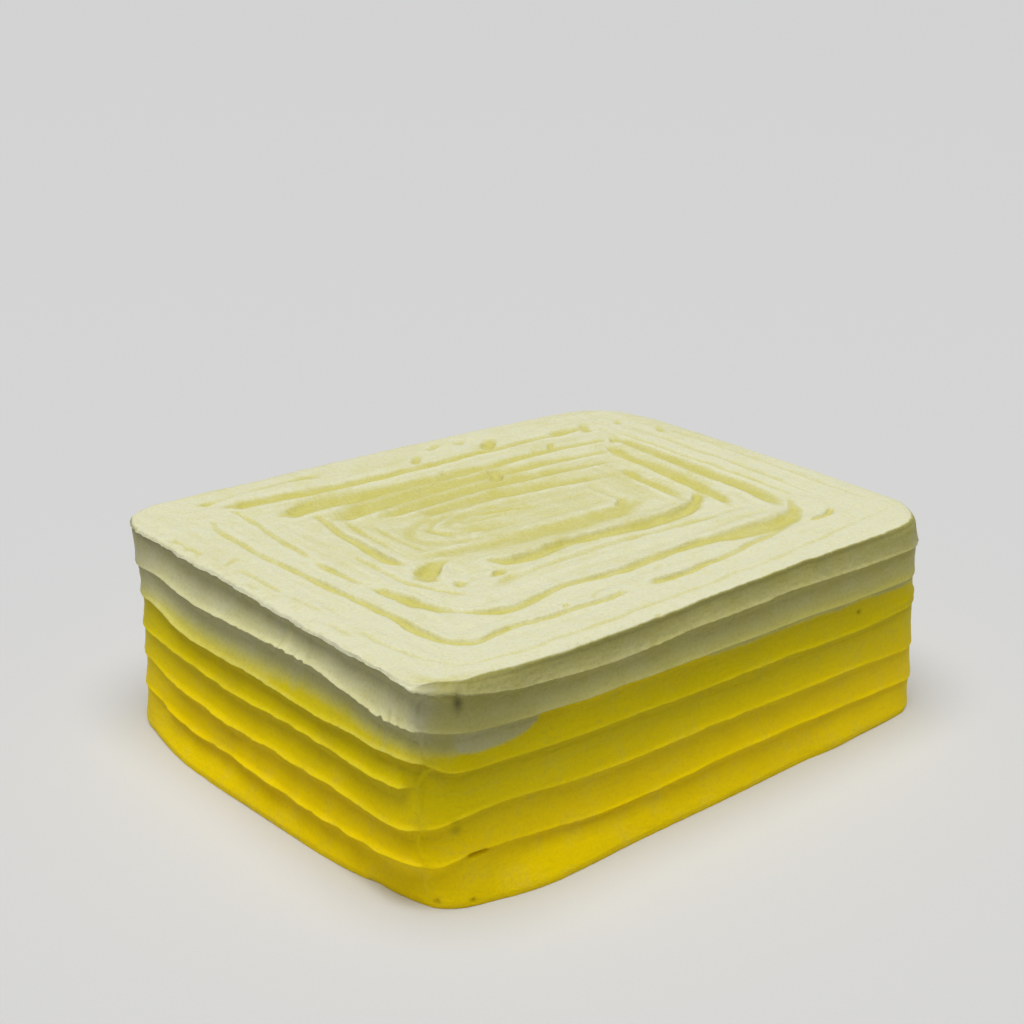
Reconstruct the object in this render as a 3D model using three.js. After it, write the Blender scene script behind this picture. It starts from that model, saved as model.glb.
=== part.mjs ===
// A lemon sheet cake: an uncut rectangular sponge, wholly covered in buttercream.
// The icing is one solid body. A palette knife has drawn it into shallow level bands round the
// sides, with a thin standing edge between one band and the next, and into rectangular rings on
// the top, which close on a long swirl in the middle.
//
// Millimetres, +Z up. The origin is under the middle of the cake, on the face it rests on.
// X runs along the long sides. The near corner is the one at -X, -Y. Lists of four values go
// round from it: the sides are front (-Y), right end (+X), back (+Y) and left end (-X), and the
// corners near, right, far and left.

import * as THREE from "three";

// ---- Overall size, over the widest of the icing ----
const LENGTH = 316;
const WIDTH = 245;
const HEIGHT = 100;

// ---- Plan: a rectangle from corner to corner, whose four sides lean and swell ----
const PLAN_LENGTH = 303.6;
const PLAN_WIDTH = 238.5;
const BASE_INSETS = [2.4, -2.5, 1.5, -1.8]; // how far each side stands in at the base
const BASE_BOWS = [2.8, 1.5, 3.5, 2.4];     // and how far its middle swells out again
const BASE_RADII = [32, 18, 24, 23];        // corner radii there
const RIM_INSETS = [2.8, -0.4, 0.6, -0.6];
const RIM_BOWS = [0.4, 0.8, 0.8, 0.4];
const RIM_RADII = [17, 29, 30, 25];
const WAIST = 0.5;             // how far the sides draw in at half height
const INNER_CORNER = 3;        // the least corner radius of a ring on the top

// The foot of the icing swells out beyond that plan, unevenly, and so does the rim. Each pair is
// a place round the cake, in eighths of the way from the near corner, and a distance.
const FOOT_SWELL = [
  [0, -1.1], [0.19, 0.4], [0.3, 3.6], [0.41, 5], [0.53, 4], [0.67, 2.2], [1, 1.1], [1.3, 0.4],
  [1.5, 1.6], [1.72, 1.1], [1.88, -0.6], [2.1, -0.6], [2.5, 0.6], [3.4, 1], [4.2, 0.2],
  [5.2, 1.2], [6, 0], [6.17, 0], [6.39, 2.9], [6.56, 4.4], [6.83, 3.5], [7.07, 1.9], [7.3, 1.1],
  [7.52, 0], [7.61, -0.8], [7.78, -4], [7.87, -4.2], [8, -1.1],
];
const RIM_SWELL = [
  [0, 0], [3.3, 0], [3.6, -0.8], [3.85, -2.6], [4.1, -3.4], [4.35, -2.4], [4.7, -0.4],
  [5.2, 1.2], [5.6, 2.8], [5.9, 3.4], [6.05, 2.6], [6.2, 0.4], [6.4, 0], [8, 0],
];
const FOOT_TALL = 21;          // the swell of the foot has gone at this height
const RIM_TALL = 40;           // the swell of the rim sets in this far below the top
const FAR_SAG = 1.7;           // how much lower the top lies at the far corner
const FAR_REACH = 52;          // and how far round it

// ---- Mesh fineness ----
const LONG_SIDE_STEPS = 26;
const SHORT_SIDE_STEPS = 20;
const CORNER_STEPS = 6;

// ---- The knife's standing edges round the sides, from the lowest to the rim ----
// Each has its height at eight places round the cake, in the order near corner, front,
// right corner, right end, far corner, back, left corner, left end, and how fully it stands
// out there: 1 is a whole edge, 0 is none at all.
const EDGES = [
  { height: [20.4, 20.9, 17.5, 20.0, 20.0, 19.5, 20.4, 18.8], proud: [1, 1, 1, 1, 1, 1, 1, 1] },
  { height: [38.4, 39.0, 35.0, 37.0, 37.5, 36.5, 37.4, 33.9], proud: [1, 1, 1, 1, 1, 1, 1, 1] },
  { height: [52.5, 49.5, 46.0, 48.0, 50.0, 50.5, 51.0, 50.0], proud: [0.4, 0, 0, 0, 0.5, 1, 1, 1] },
  { height: [65.2, 58.0, 56.8, 58.0, 61.0, 63.0, 66.6, 63.8], proud: [1, 1, 1, 1, 1, 1, 1, 1] },
  { height: [80.7, 74.2, 72.1, 73.5, 75.5, 78.0, 80.8, 83.2], proud: [1, 1, 1, 1, 1, 1, 1, 1] },
  { height: [95.0, 89.0, 87.2, 88.0, 90.0, 92.0, 95.4, 95.4], proud: [0.5, 1, 1, 1, 0.8, 0.6, 0, 0] },
  { height: [99.0, 98.8, 99.2, 98.4, 96.4, 98.8, 99.6, 98.8], proud: [1, 1, 1, 1, 1, 1, 1, 1] },
];
const SCOOP_DEPTH = 1.8;       // how far a full band is hollowed behind its edges
const FULL_BAND = 15;          // the band height at which the hollow has that depth
const SCOOP_BOTTOM = 0.6;      // where the hollow is deepest, as a share of the band from below
const UNDERCUT = 0.55;         // share of the depth reached just below an edge
const EDGE_THICKNESS = 1.2;    // how thick a standing edge is
const WAVER = 0.6;             // how far an edge wanders up and down between those places
const BASE_TUCK = 1.2;         // how far the lowest edge turns in under the cake
const BASE_ROUND = 3;          // and over what height

// ---- The rings on the top ----
// Each ring is a shallow trough; its distance from each of the four sides is given. Between two
// troughs stands a low ridge.
const TROUGHS = [
  [14, 11, 14, 11],
  [31, 35, 30, 28],
  [50, 47, 51, 42],
  [69, 60, 65, 57],
  [87, 77, 77, 69],
  [102, 89, 88, 84],
];
const SWIRL = [113, 106, 99, 96];          // the hollow of the swirl in the middle
const TROUGH_DEPTH = 2.2;
const TROUGH_FADE = 0.6;       // a stroke begins shallower than it ends, by this share
const FIRST_TROUGH = 0.35;     // the outermost trough is only a fine line, this share as deep
const RIM_ROUND = 2.6;         // how far in the rounding of the rim reaches
const RIDGE_SAG = 0.5;         // how unevenly high the ridges are

const SIDES = 4;
const PLACES = 8;
const CORNER_PLACE = 0.2;      // how far a corner reaches each way, in places

const blend = (from, to, share) => from.map((value, i) => value + (to[i] - value) * share);
const middleOf = (a, b) => blend(a, b, 0.5);

// 0 below low, 1 above high and an even S between.
function smooth(low, high, value) {
  const t = Math.min(Math.max((value - low) / (high - low), 0), 1);
  return t * t * (3 - 2 * t);
}

// The value at a place, read from a list of pairs.
function readPairs(pairs, place) {
  const next = Math.max(pairs.findIndex(([at]) => at > place), 1);
  const [from, start] = pairs[next - 1];
  const [to, end] = pairs[next];
  return start + (end - start) * (place - from) / (to - from);
}

// A smooth closed curve through the values at the eight places; place runs from 0 to 8.
function aroundCake(values, place) {
  const start = Math.floor(place);
  const t = place - start;
  const value = (step) => values[(start + step + PLACES) % PLACES];
  const [before, from, to, after] = [value(-1), value(0), value(1), value(2)];
  const rise = (to - before) / 2;
  const leave = (after - from) / 2;
  const turnA = 2 * from - 2 * to + rise + leave;
  const turnB = 3 * to - 3 * from - 2 * rise - leave;
  return from + t * (rise + t * (turnB + t * turnA));
}

// The columns of the mesh. Each has its side, its share of the way along it, how far it has
// turned through the corner at the side's end, and its place round the cake.
function makeColumns() {
  const columns = [];
  for (let side = 0; side < SIDES; side += 1) {
    const steps = side % 2 === 0 ? LONG_SIDE_STEPS : SHORT_SIDE_STEPS;
    const start = side * 2 + CORNER_PLACE;
    const end = side * 2 + 2 - CORNER_PLACE;
    for (let i = 0; i < steps; i += 1) {
      const share = i / steps;
      columns.push({ side, share, turn: 0, place: start + (end - start) * share });
    }
    for (let i = 0; i < CORNER_STEPS; i += 1) {
      const turn = i / CORNER_STEPS;
      columns.push({ side, share: 1, turn, place: (end + 2 * CORNER_PLACE * turn) % PLACES });
    }
  }
  return columns;
}

// Where a column stands on a rounded rectangle that lies inset from the plan's four sides.
function planPoint(column, { insets, bows, radii }) {
  const { side, share, turn } = column;
  const next = (side + 1) % SIDES;
  const previous = (side + SIDES - 1) % SIDES;
  const reach = (s) => (s % 2 === 0 ? PLAN_WIDTH : PLAN_LENGTH) / 2 - insets[s];
  const first = -reach(previous) + radii[side];
  const last = reach(next) - radii[next];
  const angle = turn * Math.PI / 2;
  const run = first + (last - first) * share + radii[next] * Math.sin(angle);
  const swell = bows[side] * Math.sin(Math.PI * share);
  const away = reach(side) + swell - radii[next] * (1 - Math.cos(angle));
  const heading = side * Math.PI / 2;
  return [
    run * Math.cos(heading) + away * Math.sin(heading),
    run * Math.sin(heading) - away * Math.cos(heading),
  ];
}

// The outline of the sides at a height, standing in by a hollow or an edge.
function sideOutline(z, inset) {
  const share = z / HEIGHT;
  const drawnIn = inset + WAIST * Math.sin(Math.PI * share);
  return {
    insets: blend(BASE_INSETS, RIM_INSETS, share).map((value) => value + drawnIn),
    bows: blend(BASE_BOWS, RIM_BOWS, share),
    radii: blend(BASE_RADII, RIM_RADII, share),
  };
}

// The outline of a ring on the top.
function ringOutline(insets) {
  const radii = RIM_RADII.map((radius, i) => Math.max(radius - insets[i], INNER_CORNER));
  return { insets, bows: RIM_BOWS, radii };
}

function edgeHeight(edge, column) {
  const phase = edge.height[0];
  const waver = Math.sin(column.place * 4 + phase) + 0.6 * Math.sin(column.place * 9 + 2 * phase);
  return aroundCake(edge.height, column.place) + WAVER * waver / 2;
}

// One column from the base up to the rim.
function sidePoints(column) {
  const rows = [
    { z: 0, inset: BASE_TUCK },
    { z: BASE_ROUND, inset: 0 },
  ];
  let below = BASE_ROUND;
  for (const edge of EDGES) {
    const above = edgeHeight(edge, column);
    const proud = Math.min(Math.max(aroundCake(edge.proud, column.place), 0), 1);
    const depth = SCOOP_DEPTH * Math.min((above - below) / FULL_BAND, 1);
    rows.push({ z: below + (above - below) * SCOOP_BOTTOM, inset: depth });
    rows.push({ z: above - EDGE_THICKNESS, inset: depth * UNDERCUT });
    rows.push({ z: above, inset: depth * UNDERCUT * (1 - proud) });
    below = above;
  }
  const foot = readPairs(FOOT_SWELL, column.place);
  const rim = readPairs(RIM_SWELL, column.place);
  return rows.map(({ z, inset }) => {
    const swell = foot * (1 - smooth(0, FOOT_TALL, z)) + rim * smooth(HEIGHT - RIM_TALL, HEIGHT, z);
    return [...planPoint(column, sideOutline(z, inset - swell)), z];
  });
}

// How much lower the top lies round the far corner.
function farSag(x, y) {
  const away = Math.hypot(PLAN_LENGTH / 2 - x, PLAN_WIDTH / 2 - y);
  return FAR_SAG * Math.exp(-((away / FAR_REACH) ** 2));
}

// One column over the top, from the rim inwards.
function topPoints(column) {
  const ridgeHeight = (ridge) => {
    const sag = (1 + Math.sin(column.place * 3 + ridge)) / 2;
    return HEIGHT - RIDGE_SAG * sag;
  };
  const depth = TROUGH_DEPTH * (1 - TROUGH_FADE * (1 - column.share));
  const shoulder = RIM_ROUND - readPairs(RIM_SWELL, column.place);
  const rows = [{ z: ridgeHeight(0) - 0.3, insets: RIM_INSETS.map((value) => value + shoulder) }];
  TROUGHS.forEach((insets, i) => {
    const outside = i === 0 ? RIM_INSETS : TROUGHS[i - 1];
    rows.push({ z: ridgeHeight(i + 1), insets: middleOf(outside, insets) });
    rows.push({ z: HEIGHT - depth * (i === 0 ? FIRST_TROUGH : 1), insets });
  });
  rows.push({ z: ridgeHeight(TROUGHS.length + 1), insets: middleOf(TROUGHS.at(-1), SWIRL) });
  rows.push({ z: HEIGHT - depth / 2, insets: SWIRL });
  return rows.map(({ z, insets }) => {
    const [x, y] = planPoint(column, ringOutline(insets));
    return [x, y, z - farSag(x, y)];
  });
}

// Brings the box of the geometry to the overall size, centred, with its base at zero.
function fitToSize(geometry) {
  geometry.computeBoundingBox();
  const box = geometry.boundingBox;
  const size = box.getSize(new THREE.Vector3());
  const middle = box.getCenter(new THREE.Vector3());
  geometry.translate(-middle.x, -middle.y, -box.min.z);
  geometry.scale(LENGTH / size.x, WIDTH / size.y, HEIGHT / size.z);
}

function makeCake() {
  const columns = makeColumns().map((column) => [...sidePoints(column), ...topPoints(column)]);
  const count = columns.length;
  const rowCount = columns[0].length;
  const points = [];
  for (let row = 0; row < rowCount; row += 1) {
    for (const column of columns) points.push(column[row]);
  }
  const ringMiddle = (row) => {
    const ring = columns.map((column) => column[row]);
    return [0, 1, 2].map((axis) => ring.reduce((sum, point) => sum + point[axis], 0) / count);
  };
  const baseMiddle = points.push(ringMiddle(0)) - 1;
  const topMiddle = points.push(ringMiddle(rowCount - 1)) - 1;

  const faces = [];
  for (let i = 0; i < count; i += 1) {
    const next = (i + 1) % count;
    faces.push(baseMiddle, next, i);
    for (let row = 0; row < rowCount - 1; row += 1) {
      const low = row * count;
      const high = low + count;
      faces.push(low + i, low + next, high + next);
      faces.push(low + i, high + next, high + i);
    }
    const last = (rowCount - 1) * count;
    faces.push(topMiddle, last + i, last + next);
  }

  const geometry = new THREE.BufferGeometry();
  geometry.setAttribute("position", new THREE.Float32BufferAttribute(points.flat(), 3));
  geometry.setIndex(faces);
  fitToSize(geometry);
  geometry.computeVertexNormals();
  return geometry;
}

const buttercream = new THREE.MeshStandardMaterial({
  color: 0xe3dc9a,
  roughness: 0.6,
  metalness: 0,
});

const sheetCake = new THREE.Group();
const cake = new THREE.Mesh(makeCake(), buttercream);
cake.name = "cake";
sheetCake.add(cake);

export default sheetCake;
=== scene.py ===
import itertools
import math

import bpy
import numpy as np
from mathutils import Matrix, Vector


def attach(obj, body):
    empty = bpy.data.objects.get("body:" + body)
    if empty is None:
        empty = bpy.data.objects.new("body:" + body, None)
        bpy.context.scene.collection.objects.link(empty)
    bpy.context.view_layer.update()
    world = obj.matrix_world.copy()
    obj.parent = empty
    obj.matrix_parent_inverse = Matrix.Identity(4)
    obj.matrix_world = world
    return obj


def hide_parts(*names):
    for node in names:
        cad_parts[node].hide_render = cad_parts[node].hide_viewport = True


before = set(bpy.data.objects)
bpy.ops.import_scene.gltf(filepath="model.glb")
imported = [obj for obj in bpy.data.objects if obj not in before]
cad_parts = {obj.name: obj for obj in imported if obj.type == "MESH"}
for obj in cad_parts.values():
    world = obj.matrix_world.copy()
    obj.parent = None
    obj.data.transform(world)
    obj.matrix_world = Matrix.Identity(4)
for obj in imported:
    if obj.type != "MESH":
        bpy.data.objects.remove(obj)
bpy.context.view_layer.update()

# The looks of the lemon sheet cake: one fine mesh of its buttercream in the shape of the CAD
# solid, with the bands, lips, tears, ridges and pits that the palette knife left, a
# procedural material, a pale floor, soft studio light and the camera.
#
# Lengths in this file are millimetres until they go into Blender, which has metres. Lists of
# four values go round from the long side at -Y: front, right end (+X), back, left end, and
# for corners near (-X -Y), right, far, left. A place round the cake runs from 0 at the near
# corner through 1 (front), 2 (right corner), 3 (right end), 4 (far corner), 5 (back) and
# 6 (left corner) to 7 (left end) and 8, the near corner again.

MM = 0.001
NOISE_SIZE = 64
NOISE_LATTICE = np.random.default_rng(11).uniform(-1, 1, (NOISE_SIZE,) * 3)
SIDE_PAINTED_SHADE = 0.34  # how far painted shade darkens the cream on the sides, most high up and under the lips

# ---- Overall shape, the same as the CAD's ----
HEIGHT = 100
PLAN_HALVES = np.array([238.5, 303.6, 238.5, 303.6]) / 2
BASE_INSETS = np.array([2.4, -2.5, 1.5, -1.8])
BASE_BOWS = np.array([2.8, 1.5, 3.5, 2.4])
BASE_RADII = np.array([32, 18, 24, 23])
RIM_INSETS = np.array([2.8, -0.4, 0.6, -0.6])
RIM_BOWS = np.array([0.4, 0.8, 0.8, 0.4])
RIM_RADII = np.array([17, 29, 30, 25])
WAIST = 0.5
PLAN_SHIFT = (1.37, 0.185)  # brings the plan to the middle of the box, as in the CAD
PLAN_SCALE = (1.0011, 1.0015)
CORNER_PLACE = 0.2  # how far a corner reaches each way, in places
# How far the foot stands out beyond that plan, and the rim likewise: (place, mm)
FOOT_SWELL = [
    (0, -1.1), (0.08, -0.3), (0.19, 0.4), (0.25, 2.2), (0.3, 3.6), (0.35, 4.6), (0.41, 5), (0.47, 4.6),
    (0.53, 4), (0.6, 3), (0.67, 2.2), (0.8, 1.6), (1, 1.1), (1.2, 0.5), (1.36, 0.4), (1.46, 1.7),
    (1.56, 1.3), (1.72, 1.1), (1.88, -0.6), (2.1, -0.6), (2.5, 0.6), (3.4, 1), (4.2, 0.2), (5.2, 1.2),
    (5.9, 0.2), (6.17, 0), (6.39, 2.9), (6.56, 4.4), (6.7, 4), (6.83, 3.5), (6.95, 2.6), (7.07, 1.9),
    (7.3, 1.1), (7.42, 0.6), (7.52, 0), (7.61, -0.8), (7.7, -2.3), (7.78, -4), (7.87, -4.2),
    (7.95, -2.6)
]
RIM_SWELL = [
    (0, 0), (3.3, 0), (3.6, -0.8), (3.85, -2.6), (4.1, -3.4), (4.35, -2.4), (4.7, -0.4), (5.2, 1.2),
    (5.6, 2.8), (5.9, 3.4), (6.05, 2.6), (6.2, 0.4), (6.4, 0)
]
FOOT_TALL, RIM_TALL = 21, 40  # how high up and how low down these reach
FAR_SAG = (1.7, 52)  # how much lower the top lies at the far corner, and how far round it

# ---- Fineness of the mesh ----
LONG_SIDE_STEPS = 380
SHORT_SIDE_STEPS = 280
CORNER_STEPS = 44  # even: the top's grid has its corners half way round them
INNER_ROWS = 12  # across the middle of a band
ROWS_ABOVE = (0.25, 0.6, 1.05, 1.8)  # how far above a band's lower edge the other rows lie
ROWS_BELOW = (1.8, 1.1, 0.6, 0.25)  # and how far below its upper edge

# ---- The bake map: its share for each mm, and where in it the parts lie ----
MAP_SCALE = 1 / 620
MAP_SIDES, MAP_TOP, MAP_BASE = (0.54, 0.01), (0.265, 0.76), (0.265, 0.25)

# ---- The knife's edges round the sides: (place, height) ----
EDGE_G = [
    (0, 20.4), (0.13, 25), (0.25, 24.6), (0.35, 22.9), (0.56, 20), (0.75, 19.8), (1, 20.9),
    (1.17, 21.1), (1.45, 20.2), (1.82, 17.3), (2.1, 17.6), (3, 20), (4, 20), (5, 19.5), (6, 20.4),
    (6.18, 20.6), (6.37, 18.4), (6.5, 17.5), (6.62, 17.6), (6.75, 18.4), (6.92, 18.8), (7.15, 18.6),
    (7.4, 18.2), (7.6, 19), (7.75, 20.3), (7.88, 21.6)
]
EDGE_F = [
    (0, 38.4), (0.12, 42.6), (0.24, 43.6), (0.36, 42), (0.46, 40.3), (0.56, 39.4), (0.75, 38.6),
    (1, 39), (1.16, 38.5), (1.4, 37.3), (1.6, 36.3), (1.76, 34.6), (2.1, 35.2), (3, 37), (4, 37.5),
    (5, 36.5), (6, 37.4), (6.17, 36.8), (6.35, 34.8), (6.52, 33.7), (6.75, 33.5), (6.93, 33.3),
    (7.12, 34.9), (7.3, 35.4), (7.42, 35.8), (7.6, 35.6), (7.75, 35.1), (7.88, 36.2)
]
EDGE_E = [
    (0.1, 52), (1, 49.5), (2, 46), (3, 48), (4, 50), (5, 50.5), (6, 51), (6.16, 50.9), (6.35, 50.2),
    (6.54, 49.7), (6.72, 49), (6.94, 49.6), (7.15, 51.4), (7.36, 52.2), (7.5, 51.9), (7.65, 52.2),
    (7.75, 52.8), (7.86, 53.6)
]
EDGE_D = [
    (0.06, 63.4), (0.2, 62.4), (0.35, 60.6), (0.56, 59.4), (0.75, 58.6), (0.95, 58), (1.1, 58),
    (1.25, 57.7), (1.45, 56.5), (1.65, 55.7), (1.8, 56.4), (2.1, 56.9), (3, 58), (4, 61), (5, 63),
    (6, 66.6), (6.15, 66.8), (6.31, 66.8), (6.4, 64.4), (6.48, 63), (6.82, 63.2), (7.05, 63.9),
    (7.36, 63.6), (7.55, 65), (7.7, 65.6), (7.85, 67), (7.95, 66.8)
]
EDGE_C = [
    (0, 80.7), (0.16, 79.6), (0.25, 77.9), (0.35, 76.6), (0.45, 75.8), (0.55, 74.9), (0.68, 75.1),
    (0.8, 74.6), (0.98, 74.2), (1.13, 73.9), (1.35, 73.2), (1.55, 72.2), (1.8, 71.8), (2.1, 72.2),
    (3, 73.5), (4, 75.5), (5, 78), (6, 80.8), (6.15, 81.2), (6.33, 82.3), (6.45, 81.4), (6.57, 80.4),
    (6.68, 80.9), (6.83, 82.3), (7, 83.2), (7.15, 84.6), (7.37, 84.4), (7.47, 83), (7.7, 81),
    (7.9, 80.9)
]
EDGE_B = [
    (0, 97.2), (0.12, 96.7), (0.2, 94.8), (0.35, 90.2), (0.45, 89), (0.55, 87.9), (0.65, 87.3),
    (0.75, 87.4), (0.98, 89), (1.13, 88.8), (1.35, 89.2), (1.55, 88), (1.79, 87.3), (2.1, 87.2),
    (3, 88), (4, 90), (5, 92), (5.8, 96.5), (6.1, 98.2), (6.35, 98.5), (6.55, 97.8), (6.7, 98.2),
    (6.85, 98.2), (7, 97.2), (7.15, 97.6), (7.35, 98), (7.55, 98), (7.72, 98.6), (7.87, 98)
]
EDGE_RIM = [
    (0, 99.4), (0.2, 99.2), (0.35, 98.5), (0.55, 98), (0.8, 98.4), (1.05, 99.2), (1.3, 99.4),
    (1.79, 99.4), (2.1, 99.2), (3, 98.4), (3.7, 97.4), (4.1, 96.4), (4.5, 97.6), (5, 98.8), (6, 99.8),
    (6.36, 99.5), (6.55, 98.9), (6.7, 99.3), (6.85, 99.4), (7, 98.5), (7.15, 98.8), (7.36, 99.2),
    (7.55, 99.2), (7.75, 99.6), (7.87, 99.3)
]
EDGES = [EDGE_G, EDGE_F, EDGE_E, EDGE_D, EDGE_C, EDGE_B, EDGE_RIM]
G, F, E, D, C, B, RIM = range(7)
EDGE_GAP = 0.9  # the least height between two edges
# How far edge E is there: it dies out on the front and the right end
MIDDLE_PROUD = [
    (0, 0), (2, 0), (3.2, 0), (4, 0.6), (4.6, 1), (5.5, 1), (7, 1), (7.84, 1), (7.92, 0)
]

# ---- The bands between the edges ----
BAND_DEPTH = [
    (0, 1.5), (0.3, 1.6), (1, 2), (1.7, 1.3), (2, 0.4), (2.3, 1), (3, 2), (3.7, 1), (4, 0.6), (4.3, 1),
    (5, 2.2), (5.7, 1), (6, 0.4), (6.12, 0.7), (6.4, 2.5), (7, 3.2), (7.6, 3), (7.85, 2.4)
]
FULL_BAND = 15  # height of a band with its full depth
DEEPEST = 0.36  # where a band is deepest, as a share of it from its top
UNDERCUT = 0.8  # share of the depth reached right under a lip
LIP_OUT = [
    (0, 0.6), (1, 0.7), (1.8, 0.4), (2, 0.05), (2.2, 0.2), (3, 0.5), (4, 0.2), (5, 0.6), (5.8, 0.2),
    (6, 0.05), (6.15, 0.4), (6.5, 1.5), (7.3, 1.6), (7.8, 1.6), (7.91, 1.5), (7.96, 0.7)
]
LIP_UNDER = 0.7  # height of the step under a lip
LIP_CREST = 0.5  # height of the lip's own edge
LIP_OVER = 0.85  # height of the bead above an edge
RIM_STEP = 2.6  # height over which the hollow under the rim sets in
RIM_TURN = [
    (0, 5.6), (0.2, 5.2), (0.4, 3.2), (0.6, 2.4), (1, 2.8), (1.35, 3), (1.75, 3), (2, 2.2), (3, 2),
    (4, 2), (5, 1.6), (6, 1.3), (7, 1.2), (7.75, 1.4), (7.9, 3)
]
RIM_TURN_HEIGHT = 1.5
BASE_TUCK = 0.5  # how far the base is rounded in
BASE_ROWS = [(0, 1), (0.5, 0.62), (1.2, 0.3), (2, 0.08), (3, 0)]  # (height, share of the tuck)
# Where the strokes of the front begin, just round the near corner: (height, place)
SEAM = [
    (8, 7.975), (16, 7.973), (24, 7.955), (37, 7.927), (50, 7.945), (56, 7.93), (69, 7.964),
    (83, 7.905), (90, 7.9)
]
PLACE_RUN = 85  # mm for one place, near that corner
TONGUE = 5  # how round the beginning of a stroke is
SECOND_LIP = (1.62, 1.97, 3)  # a doubled lip over edge D: from place, to place, rise
# The rows from the rim on to the top: (how far in, share to which the rim's raggedness is gone)
SHOULDER = [(0.35, 0.1), (0.8, 0.35), (1.4, 0.7), (2.2, 1)]
RAGGED_SPAN = 14  # columns over which that raggedness is evened out

# ---- Small marks on the sides ----
# Grey smudges: (place, height, reach in places, reach in mm, darkness)
SMUDGES = [
    (0.127, 92.5, 0.026, 4.2, 0.82), (0.16, 24.1, 0.03, 0.6, 0.6), (0.082, 41, 0.018, 1.8, 0.35),
    (0.082, 36, 0.02, 2, 0.4), (0.009, 3.6, 0.012, 0.9, 0.5), (0.127, 3, 0.012, 0.9, 0.5),
    (1.622, 64, 0.009, 0.9, 0.9)
]
# Pits: (place, height, radius, depth)
SIDE_PITS = [
    (0.009, 3.6, 1, 0.8), (0.127, 3, 1, 0.8), (1.622, 64, 0.9, 0.5), (0.62, 48, 0.9, 0.4),
    (0.75, 44, 0.9, 0.4), (0.93, 33, 0.9, 0.5), (1.1, 52, 0.9, 0.4), (0.5, 66, 0.9, 0.4),
    (0.55, 63, 0.9, 0.3), (0.35, 47, 0.9, 0.4), (1.3, 61, 0.9, 0.4), (0.8, 13, 1, 0.5),
    (1.45, 45, 0.9, 0.4), (1.2, 28, 0.9, 0.4), (7.1, 12, 1, 0.6), (6.8, 26, 0.9, 0.5),
    (7.4, 27, 0.9, 0.4), (7.6, 45, 0.9, 0.4), (5.4, 30, 1, 0.5), (4.9, 52, 0.9, 0.5),
    (4.5, 18, 1, 0.5), (5.2, 68, 0.9, 0.4), (3.3, 41, 0.9, 0.5), (2.8, 24, 1, 0.5), (3, 63, 0.9, 0.4),
    (2.5, 50, 0.9, 0.4)
]
# A slit with a pale lip under the front's lowest edge: (from place, to place, depth)
SLIT = (0.125, 0.2, 1.7)

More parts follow.
